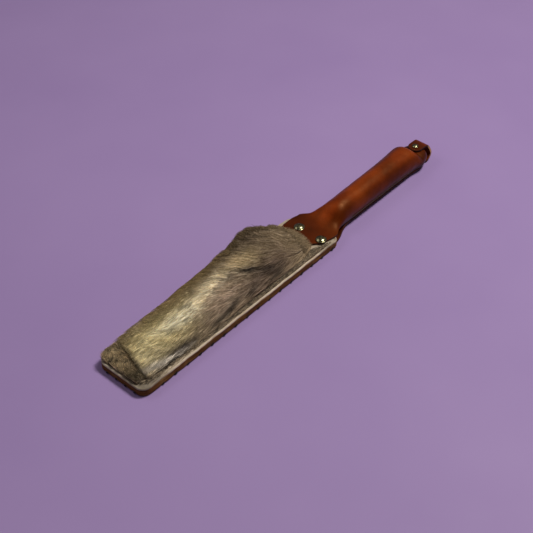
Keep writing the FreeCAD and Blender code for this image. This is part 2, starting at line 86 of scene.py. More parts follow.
def ripple(points, size, seed, octaves=3):
    """Soft seeded noise from -1 to 1, waves about size long, at points or at a tuple of coordinates."""
    rng = np.random.default_rng(seed)
    points = np.asarray(np.stack(points, -1) if isinstance(points, tuple) else points, float)
    total = np.zeros(points.shape[:-1])
    weight = 0.0
    for octave in range(octaves):
        strength = 0.55 ** octave
        for _ in range(4):
            way = rng.normal(size=points.shape[-1])
            way *= 2 * pi * 2 ** octave / (size * np.linalg.norm(way))
            total += strength * np.sin(points @ way + rng.uniform(0, 2 * pi))
            weight += strength * 0.5
    return total / weight


def spline(points, count):
    """Catmull-Rom curve through the points, count samples from the first to the last."""
    points = np.asarray(points, float)
    padded = np.vstack((2 * points[0] - points[1], points, 2 * points[-1] - points[-2]))
    place = np.linspace(0, len(points) - 1, count)
    index = np.minimum(place.astype(int), len(points) - 2)
    t = (place - index)[:, None]
    a, b, c, d = (padded[index + step] for step in range(4))
    return 0.5 * (2 * b + (c - a) * t + (2 * a - 5 * b + 4 * c - d) * t ** 2
                  + (3 * b - a - 3 * c + d) * t ** 3)


# ---- mesh helpers

def add_object(name, data):
    obj = bpy.data.objects.new(name, data)
    bpy.context.scene.collection.objects.link(obj)
    return obj


def mesh_object(name, points, faces, materials, slot, node=None, body="swatter"):
    """Mesh from points in millimetres, smooth shaded, riding on a body and standing for a CAD node."""
    mesh = bpy.data.meshes.new(name)
    mesh.from_pydata([tuple(p) for p in np.asarray(points) * MM], [], faces)
    mesh.update()
    for polygon in mesh.polygons:
        polygon.use_smooth = True
    for material in materials:
        mesh.materials.append(material)
    obj = add_object(name, mesh)
    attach(obj, body)
    if node:
        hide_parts(node)
    return obj


def mesh_points(obj):
    """Vertex positions in millimetres."""
    flat = np.empty(3 * len(obj.data.vertices), np.float32)
    obj.data.vertices.foreach_get("co", flat)
    return flat.reshape(-1, 3) / MM


def paint(obj, colours):
    """Store a linear colour for each vertex, read by materials as tint."""
    attribute = obj.data.attributes.new("tint", "FLOAT_COLOR", "POINT")
    rgba = np.column_stack((colours, np.ones(len(colours)))).astype(np.float32)
    attribute.data.foreach_set("color", rgba.reshape(-1))


def bake_modifiers(obj):
    """Replace the object's mesh with its modified mesh."""
    graph = bpy.context.evaluated_depsgraph_get()
    mesh = bpy.data.meshes.new_from_object(obj.evaluated_get(graph))
    obj.modifiers.clear()
    obj.data = mesh


def thicken(obj, thickness, bevel):
    """Give a sheet its thickness inwards; its rims take the second material and get soft corners."""
    solid = obj.modifiers.new("thickness", "SOLIDIFY")
    solid.thickness = thickness * MM
    solid.offset = -1
    solid.use_rim = True
    solid.material_offset_rim = 1
    soft = obj.modifiers.new("soft_rim", "BEVEL")
    soft.width = bevel * MM
    soft.segments = 2
    soft.limit_method = "ANGLE"
    soft.angle_limit = radians(50)
    soft.material = 1
    bake_modifiers(obj)


def grid_faces(rows, columns, keep=None):
    """Faces of a grid of points, or only those that keep(row, column) asks for."""
    faces = []
    for i in range(rows - 1):
        for j in range(columns - 1):
            if keep is None or keep(i, j):
                a = i * columns + j
                faces.append((a, a + columns, a + columns + 1, a + 1))
    return faces


def wall_faces(rings, count, base=0, flip=False):
    """Faces between neighbouring rings of count points; base is the number of the first point."""
    faces = []
    for k in range(rings - 1):
        for n in range(count):
            a, b = base + k * count + n, base + k * count + (n + 1) % count
            faces.append((a, a + count, b + count, b) if flip else (a, b, b + count, a + count))
    return faces


def tube_mesh(paths, radius, sides):
    """Closed tubes along paths, each of them a row of points."""
    points, faces = [], []
    for path in paths:
        tangent = np.gradient(path, axis=0)
        tangent /= np.linalg.norm(tangent, axis=1)[:, None]
        side = np.cross(tangent, (0.13, 0.21, 0.97))
        side /= np.linalg.norm(side, axis=1)[:, None]
        up = np.cross(side, tangent)
        base = len(points)
        for k, centre in enumerate(path):
            for n in range(sides):
                angle = 2 * pi * n / sides
                points.append(centre + radius * (cos(angle) * side[k] + sin(angle) * up[k]))
        faces += wall_faces(len(path), sides, base, flip=True)
        faces.append(tuple(range(base, base + sides)))
        faces.append(tuple(reversed(range(len(points) - sides, len(points)))))
    return np.array(points), faces


# ---- materials

def linear(red, green, blue):
    """Linear colour from 0-255 values."""
    def channel(value):
        value /= 255
        return value / 12.92 if value <= 0.04045 else ((value + 0.055) / 1.055) ** 2.4
    return (channel(red), channel(green), channel(blue), 1.0)


def rgb(red, green, blue):
    """Linear colour as an array, without its alpha."""
    return np.array(linear(red, green, blue)[:3])


class Shader:
    """A material's node tree with short calls for the nodes used here.

    Values are numbers or outputs of other nodes; colours may also be 0-255 values or linear RGBA.
    """

    def __init__(self, name, roughness=0.5, specular=0.5, **sockets):
        self.material = bpy.data.materials.new(name)
        self.material.use_nodes = True
        self.nodes = self.material.node_tree.nodes
        self.links = self.material.node_tree.links
        self.shader = self.nodes["Principled BSDF"]
        self.shader.inputs["Roughness"].default_value = roughness
        self.shader.inputs["Specular IOR Level"].default_value = specular
        for socket, value in sockets.items():
            self.shader.inputs[socket.replace("_", " ")].default_value = value
        self.place = self.node("ShaderNodeTexCoord").outputs["Object"]

    def feed(self, socket, value):
        if isinstance(value, bpy.types.NodeSocket):
            self.links.new(value, socket)
        else:
            socket.default_value = value

    def node(self, kind, **sockets):
        """New node with its sockets fed; an underscore stands for a space in a socket's name."""
        node = self.nodes.new(kind)
        for name, value in sockets.items():
            self.feed(node.inputs[name.replace("_", " ")], value)
        return node

    def stretched(self, x, y, z):
        return self.node("ShaderNodeMapping", Scale=(x, y, z), Vector=self.place).outputs["Vector"]

    def noise(self, size, detail=4.0, rough=0.55, distort=0.0, where=None):
        """Noise with features about size millimetres wide."""
        return self.node("ShaderNodeTexNoise", Scale=1 / (size * MM), Detail=detail, Roughness=rough,
                         Distortion=distort, Vector=where or self.place).outputs["Fac"]

    def cells(self, size):
        return self.node("ShaderNodeTexVoronoi", Scale=1 / (size * MM),
                         Vector=self.place).outputs["Distance"]

    def span(self, value, low, high, new_low=0.0, new_high=1.0):
        """Value from low to high, mapped to new_low to new_high and kept there."""
        return self.node("ShaderNodeMapRange", Value=value, From_Min=low, From_Max=high, To_Min=new_low,
                         To_Max=new_high).outputs["Result"]

    def join(self, first, second, factor, blend):
        node = self.nodes.new("ShaderNodeMix")
        node.data_type = "RGBA"
        node.blend_type = blend
        self.feed(node.inputs["Factor"], factor)
        for socket, value in zip([s for s in node.inputs if s.type == "RGBA"], (first, second)):
            if isinstance(value, tuple) and len(value) == 3:
                value = linear(*value)
            self.feed(socket, value)
        return next(s for s in node.outputs if s.type == "RGBA")

    def mix(self, first, second, value, low, high, most=1.0):
        """First colour where value is under low, going to the second as it nears high."""
        return self.join(first, second, self.span(value, low, high, 0.0, most), "MIX")

    def tinted(self, colour):
        return self.join(colour, self.attribute("tint"), 1.0, "MULTIPLY")

    def math(self, kind, first, second):
        node = self.nodes.new("ShaderNodeMath")
        node.operation = kind
        self.feed(node.inputs[0], first)
        self.feed(node.inputs[1], second)
        return node.outputs["Value"]

    def plus(self, first, share, second):
        """First and a share of second."""
        return self.math("ADD", first, self.math("MULTIPLY", second, share))

    def attribute(self, name):
        node = self.nodes.new("ShaderNodeAttribute")
        node.attribute_name = name
        return node.outputs["Color"]

    def finish(self, colour, matt, smoothest, roughest, bump, height, strength):
        """Join colour, roughness (led by matt) and bump height (in millimetres) to the shader."""
        roughness = self.span(matt, 0.3, 0.7, smoothest, roughest)
        relief = self.node("ShaderNodeBump", Distance=height * MM, Strength=strength, Height=bump)
        self.links.new(colour, self.shader.inputs["Base Color"])
        self.links.new(roughness, self.shader.inputs["Roughness"])
        self.links.new(relief.outputs["Normal"], self.shader.inputs["Normal"])
        return self.material


def leather(name, dark, mid, bright):
    """Oiled vegetable-tanned leather: cloudy colour, fine pores and soft creases."""
    s = Shader(name, specular=0.3, Specular_Tint=(1.0, 0.46, 0.16, 1.0))
    colour = s.mix(dark, mid, s.noise(26, 5, 0.6), 0.32, 0.6)
    colour = s.mix(colour, bright, s.noise(60, 3), 0.5, 0.75, 0.6)
    colour = s.mix(colour, dark, s.cells(0.9), 0.5, 0.9, 0.35)
    colour = s.tinted(colour)
    crease = s.noise(5, 5, 0.6, 0.8, s.stretched(0.35, 1.0, 1.0))
    grain = s.plus(crease, 0.35, s.cells(0.7))
    return s.finish(colour, s.noise(7, 4), 0.36, 0.5, grain, 0.2, 0.6)


def cut_leather(name, light, dark, dark_up_to=None):
    """Cut edge of leather: pale fibres with darker lines along them; dark brown up to an X."""
    s = Shader(name, specular=0.25)
    fibres = s.noise(1.1, 5, 0.65, 0.4, s.stretched(0.25, 1.0, 2.2))
    colour = s.mix(light, dark, fibres, 0.38, 0.68)
    # dark brown up to the given X
    if dark_up_to is not None:
        along = s.node("ShaderNodeSeparateXYZ", Vector=s.place).outputs["X"]
        colour = s.mix((58, 28, 14), colour, along, dark_up_to * MM, (dark_up_to + 2.5) * MM)
    return s.finish(colour, fibres, 0.6, 0.85, fibres, 0.2, 0.8)


def sole_leather(name):
    """Edge and underside of the sole: tan brown, burnished, streaked along its plies."""
    s = Shader(name, specular=0.08)
    layers = s.noise(2.2, 5, 0.6, 0.3, s.stretched(0.12, 0.12, 2.0))
    colour = s.mix((122, 81, 36), (78, 49, 20), layers, 0.35, 0.68)
    colour = s.mix(colour, (146, 112, 66), s.noise(14, 4), 0.5, 0.74, 0.7)
    colour = s.mix(colour, (46, 28, 15), s.noise(6, 5, 0.7), 0.52, 0.74, 0.45)
    pores = s.plus(s.cells(0.6), 1.2, layers)
    return s.finish(colour, s.noise(4), 0.5, 0.72, pores, 0.22, 0.8)


def hide_skin(name):
    """Shaved margin of the fur hide: cream rawhide with dark hair specks."""
    s = Shader(name, specular=0.3)
    colour = s.mix((222, 208, 184), (196, 178, 150), s.noise(9, 5, 0.6), 0.35, 0.7)
    colour = s.mix(colour, (176, 152, 122), s.noise(22, 4), 0.5, 0.75, 0.7)
    specks = s.noise(1.5, 3, 0.7, 1.2, s.stretched(0.6, 1.0, 1.0))
    colour = s.mix(colour, (92, 76, 60), specks, 0.66, 0.74, 0.8)
    colour = s.tinted(colour)
    bump = s.plus(s.noise(0.8, 4, 0.7), 1.6, s.noise(5, 3))
    return s.finish(colour, s.noise(3), 0.58, 0.78, bump, 0.25, 0.7)


def fur_hair(name, roughness):
    """Hair coloured by the strands' own tint with a finer variation along the pile."""
    s = Shader(name, roughness=roughness, specular=0.18)
    fine = s.noise(1.3, 4, 0.6, 0.2, s.stretched(0.12, 1.0, 1.0))
    colour = s.mix(s.attribute("tint"), (0.03, 0.022, 0.015, 1), fine, 0.55, 0.85, 0.35)
    return s.finish(colour, s.noise(3), roughness, roughness + 0.2, fine, 0.12, 0.6)


def waxed_thread(name, light, dark):
    """Twisted waxed thread."""
    s = Shader(name, specular=0.4)
    twist = s.node("ShaderNodeTexWave", Scale=900, Distortion=1.5, Vector=s.place)
    twist.bands_direction = "DIAGONAL"
    ply = twist.outputs["Fac"]
    colour = s.mix(dark, light, ply, 0.2, 0.8)
    return s.finish(colour, s.noise(1.2), 0.45, 0.65, ply, 0.15, 0.8)


def worn_metal(name):
    """Nickel-plated brass, a little worn, with fine scratches."""
    s = Shader(name, Metallic=1.0)
    colour = s.mix((168, 162, 122), (94, 91, 64), s.noise(2.4, 4), 0.35, 0.65)
    scratches = s.noise(0.7, 5, 0.7, 0.6, s.stretched(1.0, 0.12, 1.0))
    return s.finish(colour, s.noise(1.8), 0.16, 0.34, scratches, 0.04, 0.5)


def wood_grain(name):
    s = Shader(name, specular=0.3)
    rings = s.noise(3.0, 5, 0.6, 0.6, s.stretched(0.06, 1.0, 1.0))
    colour = s.mix((120, 84, 50), (78, 50, 28), rings, 0.35, 0.65)
    return s.finish(colour, rings, 0.55, 0.75, rings, 0.3, 0.7)


def plain_floor(name):
    s = Shader(name, specular=0.25)
    colour = s.mix((163, 137, 184), (158, 132, 180), s.noise(260, 3), 0.35, 0.65)
    return s.finish(colour, s.noise(90), 0.5, 0.62, s.noise(1.2, 3), 0.02, 0.3)


HANDLE = leather("handle_leather", (78, 26, 5), (112, 41, 8), (146, 62, 12))
HANDLE_EDGE = cut_leather("handle_cut_edge", (84, 40, 20), (46, 22, 12))
STRAP = leather("strap_leather", (70, 22, 5), (94, 32, 8), (118, 46, 12))
STRAP_EDGE = cut_leather("strap_cut_edge", (196, 150, 108), (140, 96, 62), 207.5)
SOLE = sole_leather("sole_leather")
HIDE = hide_skin("cream_hide")
FUR = fur_hair("fur_long", 0.6)
FUR_SHORT = fur_hair("fur_short", 0.66)
DARK_THREAD = waxed_thread("dark_thread", (34, 25, 20), (13, 10, 9))
TAN_THREAD = waxed_thread("tan_thread", (88, 58, 34), (44, 27, 16))
METAL = worn_metal("nickel")
WOOD = wood_grain("wood")
FLOOR = plain_floor("pale_floor")


# ---- blade plates

TIP_RADIUS = 9.0
SHOULDER_RADII = {-1: 6.0, 1: 17.0}
LEAST_RADIUS = 0.4
RING_POINTS = (22, 14, 330, 14, 20)
MIDDLE_INSETS = (3.4, 5.5, 8.5, 12, 16, 20.5, 25.5)
EDGE_BAND = 3


def arc(centre, radius, start, end, count):
    angles = np.radians(np.linspace(start, end, count))
    return np.array(centre) + radius * np.column_stack((np.cos(angles), np.sin(angles)))


def half_outline(inset, side):
    """Blade's outline on one side, from the middle of the tip to the middle of the shoulder."""
    tip, shoulder, edge = TIP + inset, SHOULDER - inset, EDGE - inset
    r0 = max(TIP_RADIUS - inset, LEAST_RADIUS)
    r1 = max(SHOULDER_RADII[side] - inset, LEAST_RADIUS)
    parts = [
        np.linspace((tip, 0), (tip, edge - r0), RING_POINTS[0]),
        arc((tip + r0, edge - r0), r0, 180, 90, RING_POINTS[1]),
        np.linspace((tip + r0, edge), (shoulder - r1, edge), RING_POINTS[2]),
        arc((shoulder - r1, edge - r1), r1, 90, 0, RING_POINTS[3]),
        np.linspace((shoulder, edge - r1), (shoulder, 0), RING_POINTS[4]),
    ]
    points = np.vstack([part[:-1] for part in parts] + [parts[-1][-1:]])
    points[:, 1] *= side
    return points


def ring(inset):
    """Closed outline of the blade, inset from its edge, seen anticlockwise from above."""
    right, left = half_outline(inset, -1), half_outline(inset, 1)
    return np.vstack((right, left[::-1][1:-1]))


def lifted(outline, z):
    return np.column_stack((outline, np.full(len(outline), z)))


def plate(low, edge, high, first=0):
    """Closed plate: rings from the middle of its underside, round its edge, to the middle of its top.

    edge has (inset, Z) rows; the top starts at the inset that first counts to.
    """
    profile = ([(inset, low) for inset in reversed(MIDDLE_INSETS)] + edge
               + [(inset, high) for inset in MIDDLE_INSETS[first:]])
    rings = [lifted(ring(inset), z) for inset, z in profile]
    count = len(rings[0])
    faces = wall_faces(len(rings), count)
    for base, flip in ((0, True), ((len(rings) - 1) * count, False)):
        for i in range(count // 2):
            corners = (i, i + 1, (count - i - 1) % count, (count - i) % count)
            face = tuple(dict.fromkeys(base + corner for corner in corners))
            faces.append(face[::-1] if flip else face)
    return np.vstack(rings), faces


def prism(outline, low, high):
    count = len(outline)
    faces = [tuple(reversed(range(count))), tuple(range(count, 2 * count))]
    return np.vstack((lifted(outline, low), lifted(outline, high))), faces + wall_faces(2, count)


def wave_sides(points, wave):
    """Move the points of the two long edges outwards by wave."""
    y = points[:, 1]
    points[:, 1] += wave * np.sign(y) * (np.abs(y) > EDGE - EDGE_BAND)


STITCH_PITCH = 14.9
STITCH_START = 22.4
SIDE_STITCHES = 16
TIP_STITCH_PITCH = 11.0
TIP_STITCHES = (-1.5, -0.5, 0.5, 1.5)
# knots of one thread loop: how far inwards, up, and along the edge
STITCH_KNOTS = ((1, 2, 1.5), (0.3, 1.9, 1.2), (0.3, 1.2, 0.4), (0.7, 0.7, -0.5), (1.9, 0.42, -1.1),
                (3.2, 0.45, -1.3), (3.5, 1.1, -1.35))
STITCH_RADIUS = 0.92


def stitch_sites():
    """(point on the lower edge, inward direction, direction along the edge) of each thread loop."""
    for index in range(SIDE_STITCHES):
        x = TIP + STITCH_START + index * STITCH_PITCH
        for side in (-1, 1):
            yield np.array((x, side * EDGE, 0)), np.array((0, -side, 0)), np.array((1, 0, 0))
    for index in TIP_STITCHES:
        yield np.array((TIP, index * TIP_STITCH_PITCH, 0)), np.array((1, 0, 0)), np.array((0, 1, 0))


def pull_in(points, depth=0.95, lift=0.5, width=1.9, height=1.9, reach=1.6):
    """The thread pulls the lower edge in and up at each stitch."""
    points = points.copy()
    for site, inward, along in stitch_sites():
        offset = points - site
        near = np.exp(-(offset @ along / width) ** 2 - (offset[:, 2] / height) ** 2
                      - (offset @ inward / reach) ** 2)
        points += near[:, None] * (depth * inward + np.array((0, 0, lift)))
    return points


TAB_HALF_WIDTH = 23.6
TAB_MIDDLE = -0.8
TAB_NOSE = 40.4
SKIVE_GAP = 0.25


def tab_outline(margin):
    """Outline of the handle's lower tab, a half round nose with straight sides, running off the blade."""
    radius = TAB_HALF_WIDTH + margin
    centre = SHOULDER - TAB_NOSE + TAB_HALF_WIDTH
    nose = arc((centre, TAB_MIDDLE), radius, 90, 270, 49)
    return np.vstack((nose, [(SHOULDER + 2, TAB_MIDDLE - radius), (SHOULDER + 2, TAB_MIDDLE + radius)]))


def make_outer_sole():
    points, faces = plate(0.0, [
        (2.2, 0.0), (1.3, 0.08), (0.75, 0.3), (0.35, 0.7), (0.1, 1.25), (0.0, 1.9), (0.0, 2.7), (0.0, 3.4),
        (0.1, 3.9), (0.4, SOLE_JOINT - 0.04), (2.2, SOLE_JOINT)], SOLE_JOINT)
    points = pull_in(points)
    upright = np.abs(points[:, 2] - 2) < 2.1
    wave_sides(points, 0.22 * ripple(points, 17, 5) * upright)
    obj = mesh_object("outer_sole_leather", points, faces, [SOLE], "sole_leather", "outer_sole")
    cutter = mesh_object("skive_cutter", *prism(tab_outline(SKIVE_GAP), -2.0, SHEET + 0.1), [SOLE],
                         "sole_leather")
    cut = obj.modifiers.new("skive", "BOOLEAN")
    cut.operation = "DIFFERENCE"
    cut.solver = "EXACT"
    cut.object = cutter
    bake_modifiers(obj)
    bpy.data.objects.remove(cutter)


def make_inner_sole():
    z0, z1 = SOLE_JOINT, SOLE_TOP
    points, faces = plate(z0, [
        (1.4, z0), (0.45, z0 + 0.04), (0.1, z0 + 0.3), (0.0, z0 + 0.8), (0.0, z0 + 1.5), (0.02, z0 + 2.1),
        (0.2, z0 + 2.6), (0.6, z1)], z1)
    wave_sides(points, 0.2 * ripple(points, 23, 8))
    root, end = SHOULDER - 4, INNER_HIGH[0]
    tang_points, tang_faces = prism(np.array([(root, -11), (end, -11), (end, 1), (root, 1)]),
                                    z0 + 0.02, z1 - 0.02)
    faces += [tuple(len(points) + v for v in face) for face in tang_faces]
    mesh_object("inner_sole_leather", np.vstack((points, tang_points)), faces, [SOLE], "sole_leather",
                "inner_sole")


def make_hide():
    z0 = SOLE_TOP
    points, faces = plate(z0, [
        (1.2, z0), (0.5, z0 + 0.05), (0.12, z0 + 0.3), (0.0, z0 + 0.75), (0.06, z0 + 1.2), (0.35, z0 + 1.65),
        (0.8, z0 + 1.92), (1.3, z0 + 1.94), (1.75, z0 + 1.6), (2.1, z0 + 1.0), (2.5, z0 + 0.95),
        (3.1, z0 + 1.35), (4.2, z0 + 1.5)], HIDE_TOP, first=1)
    points[:, 2] += 0.16 * ripple(points, 14, 21) * (points[:, 2] > z0 + 0.6)
    wave_sides(points, 0.3 * ripple(points[:, :1], 31, 22) - 0.1)
    obj = mesh_object("hide_skin", points, faces, [HIDE], "hide", "hide_backing")
    x, y = points[:, 0], points[:, 1]
    # painted shade: darker on the shoulder, on the near corner of the tip and along the tip's edge
    painted_shade = 1 - 0.34 * smooth(x, 8, 24) - 0.60 * (1 - smooth(x, -196, -172)) * smooth(-y, 2, 16)
    painted_shade -= 0.42 * (1 - smooth(x, TIP + 3, TIP + 9)) * smooth(y, -16, -4)
    painted_shade *= 1 + 0.18 * ripple(points, 9, 23)
    paint(obj, np.clip(painted_shade, 0.2, 1.0)[:, None] * np.array((1.0, 0.97, 0.94)))


def make_sole_stitches():
    """Short thread loops, slanted over the sole's lower edge."""
    paths = []
    for site, inward, along in stitch_sites():
        slant = along if abs(along[0]) else -along
        paths.append(spline(site + np.array(STITCH_KNOTS) @ np.array((inward, (0, 0, 1), slant)), 17))
    points, faces = tube_mesh(paths, STITCH_RADIUS, 10)
    points[:, 2] = np.maximum(points[:, 2], 0.0)
    mesh_object("sole_thread", points, faces, [DARK_THREAD], "dark_thread", "sole_stitches")


# ---- fur

PILE = ((-205, 6), (-197, 6.8), (-187, 8.6), (-178, 9.8), (-169, 8.6), (-160, 7), (-150, 7.2),
        (-140, 7.6), (-131, 8.2), (-120, 11.2), (-100, 13.2), (-90, 14.6), (-80, 15.4), (-69, 18.4),
        (-58, 20.4), (-46, 23), (-36, 24.6), (-26, 24.6), (-17, 22), (-9, 17.4), (-3.5, 13.4),
        (2, 10), (8, 6.6), (13, 4.2), (17, 2.6), (25, 1.6))
ACROSS = ((-30, 0), (-26, 0.10), (-24, 0.2), (-20, 0.38), (-15, 0.56), (-8, 0.78), (0, 0.93),
          (8, 1), (16, 0.98), (22, 0.95), (26, 0.89), (28, 0.8), (30, 0.66), (32, 0.46), (34, 0.2),
          (37, -0.2))
PARTING = ((-24, -200.4), (-15.1, -198.6), (-5, -196.2), (3.4, -194), (12, -191.6), (21.1, -189.3),
           (28, -187.4))
FUR_END = ((-26, 3), (-22, 7), (-17.5, 9.6), (-11, 12.3), (-4.6, 14.6), (2.6, 16.1), (9.2, 15.1),
           (15.6, 12.4), (20, 9), (24, 5), (28, 0))
NEAR_EDGE = ((-206, -18.6), (-198, -21), (-187, -21.6), (-175, -21.8), (-164, -22.2), (-143, -22.8),
             (-118, -23), (-90, -22.8), (-67, -22.6), (-37, -22.6), (-7, -22.2), (8, -20.2),
             (15, -17))
FAR_EDGE = 27.4
TAB_STEP = (0.5, 7.5)
HAIR_STEPS = 4
ALONG = np.linspace(0, 1, HAIR_STEPS + 1)


def bed(x):
    """Height that the fur lies on: the hide, then the handle's tab."""
    return HIDE_TOP + (SHEET + 0.1) * smooth(x, *TAB_STEP)


def pile(x, y):
    """Height of the fur above its bed."""
    hump = 3.8 * np.exp(-((x + 27) / 14.0) ** 2) * smooth(y, 10, 21) * (1 - smooth(y, 29, 34))
    tip_loss = 0.5 * smooth(y, 4, 26) * (1 - smooth(x, -192, -156))
    near_loss = 0.5 * smooth(-y, 11, 22) * smooth(x, -75, -30)
    height = (table(x, PILE) * table(y, ACROSS) + hump) * (1 - tip_loss) * (1 - near_loss)
    lumps = 1 + 0.07 * ripple((x, y), 34, 31, 2)
    floor = 1.3 * smooth(y, -27.5, -22) * (1 - smooth(y, 27, 30))
    return np.maximum(height * lumps, floor - 9.0 * smooth(y, 30, 38))


def flow(x, y, unrest=6.0):
    """Direction that the hair lies in: degrees from -X towards +Y."""
    turn = 3 + 44 * smooth(x, -118, -52) - 12 * smooth(x, -20, 14)
    near = smooth(-y, 4, 21)
    swing = unrest * ripple((x, y), 60, 33, 2)
    return turn * (1 - near) + near * (-9 - 7 * smooth(x, -60, 0)) + swing


# patches of colour: middle in X and Y, half length, half width, turn in degrees, weight, colour
GROUND = (150, 129, 98)
PATCHES = (
    (-150, 5, 56, 19, 0, 1, (196, 180, 127)),
    # painted highlight: the next two are paler bands along the crest of the pile, where it catches the light
    (-116, 3, 38, 8.5, 5, 1, (220, 212, 184)),
    (-82, -1, 32, 8, 8, 1, (228, 214, 180)),
    (-175, -6, 22, 12, 0, 0.6, (206, 194, 152)),
    (-142, -17.5, 20, 5, 3, 0.95, (84, 72, 60)),
    (-98, -16, 24, 6, 0, 0.6, (136, 117, 98)),
    (-76, -11, 36, 7, 4, 0.8, (184, 160, 134)),
    (-95, 26, 75, 8, 4, 0.9, (156, 132, 87)),
    (-22, 8, 36, 22, 0, 0.8, (104, 87, 65)),
    (-47, -5, 20, 7, 12, 0.85, (196, 174, 130)),
    (-35, -18, 35, 7, 0, 0.7, (112, 91, 74)),
    (-171, -16.5, 28, 2.9, 7, 0.8, (198, 188, 174)),
    # painted shadow: a thin dark line along the fur's near edge, over the margin
    (-163, -21.6, 28, 1.3, 2, 1, (36, 30, 25)),
    (-143, -16, 12, 1.4, 8, 0.9, (46, 38, 33)),
    (-45, -11.5, 14, 1.2, 14, 1, (40, 32, 26)),
    (-30, -15, 9, 1, 10, 0.85, (48, 39, 32)),
    (-52, -18, 10, 1.3, -12, 0.85, (46, 38, 31)),
    (-26, -18.5, 12, 1.3, -8, 0.85, (46, 38, 31)),
    (-84, -18, 16, 1.5, -8, 0.95, (48, 40, 33)),
    (-104, -19, 14, 1.2, -8, 0.9, (52, 43, 36)),
    (-70, -6, 15, 1.2, 10, 0.75, (62, 50, 40)),
    (-20, 4, 14, 1.3, 28, 0.6, (66, 54, 42)),
)


def tint(x, y):
    """Hair colour at a root, linear."""
    colour = np.ones(x.shape + (3,)) * rgb(*GROUND)
    for px, py, length, width, turn, weight, patch in PATCHES:
        angle = radians(turn)
        u = ((x - px) * cos(angle) - (y - py) * sin(angle)) / length
        v = ((x - px) * sin(angle) + (y - py) * cos(angle)) / width
        amount = weight * np.exp(-(u ** 2 + v ** 2) ** 1.3)[..., None]
        colour = colour * (1 - amount) + amount * rgb(*patch)
    return colour


def streaks(x, y):
    """Seeded light and dark streaks that follow the lie of the hair, about -1 to 1."""
    places = np.linspace(-215, 20, 471)
    lean = np.tan(np.radians(np.stack([flow(places, 0 * places + side, 0) for side in (8, -24)])))
    drift = np.cumsum(lean, axis=1) * (places[1] - places[0])
    near = smooth(-y, 4, 21)
    across = y + (1 - near) * np.interp(x, places, drift[0]) + near * np.interp(x, places, drift[1])
    return ripple((x * 0.13, across), 2.5, 77, 3)


def fences(x):
    """Nearest and farthest Y that hair may lie at."""
    return table(x, NEAR_EDGE), 33.0 - 4.0 * smooth(-x, 120, 180)


def lie(x, y, angle, bend, length, start, sink, loose):
    """Points along each hair, which rises out of the undercoat and then lies on the pile's top."""
    s = ALONG
    heading = np.radians(angle[:, None] + bend[:, None] * s)
    step = length[:, None] / HAIR_STEPS
    px = x[:, None] - np.cumsum(np.cos(heading) * step, axis=1) + np.cos(heading[:, :1]) * step
    py = y[:, None] + np.cumsum(np.sin(heading) * step, axis=1) - np.sin(heading[:, :1]) * step
    near, far = fences(px)
    py = np.clip(py, near + loose[:, None], far + 2.4 * loose[:, None])
    top = pile(px, py)
    deep = np.minimum(start, 0.5 * top)
    rise = 1 - (1 - s) ** 2.4
    z = bed(px) + top - deep * (1 - rise) - sink[:, None] * np.clip(top / 6, 0.25, 1) * rise
    return np.stack((px, py, z), -1)


def nearest(points, centres):
    tree = kdtree.KDTree(len(centres))
    for index, centre in enumerate(centres):
        tree.insert((centre[0], centre[1], 0), index)
    tree.balance()
    return np.array([tree.find((p[0], p[1], 0))[1] for p in points])


def grow(x, y, length, lock_share, seed, wild, heading):
    """Hair paths that wander a little lock by lock, and a brightness factor for each hair."""
    rng = np.random.default_rng(seed)
    count = len(x)
    roots = np.column_stack((x, y))
    guides = roots[rng.choice(count, max(4, int(count * lock_share)), replace=False)]
    stretch = np.array((0.35, 1.0))
    owner = nearest(roots * stretch, guides * stretch)
    turn = rng.normal(0, wild, len(guides))
    lift = rng.normal(0.5, 0.3, len(guides))
    shade = np.exp(rng.normal(0, 0.12, len(guides)))
    streak = streaks(x, y)
    angle = heading(x, y) + turn[owner] + rng.normal(0, wild * 0.6, count)
    bend = rng.normal(0, 6, count)
    sink = np.clip(lift[owner] + rng.normal(0.2, 0.35, count) - 0.6 * streak, -0.6, 1.9)
    loose = rng.uniform(-0.5, 1.1, count)
    stray = rng.random(count) < 0.012
    sink[stray] -= 1.0
    paths = lie(x, y, angle, bend, length, 2.9, sink, loose)
    # each hair's brightness: random, with painted light and shade from the streaks, lighter where they raise
    # the hair and darkest in the grooves where they sink it
    glow = rng.normal(0.26, 0.24, count) + 0.35 * streak + 1.9 * np.minimum(streak + 0.3, 0)
    return paths, shade[owner] * np.exp(glow)


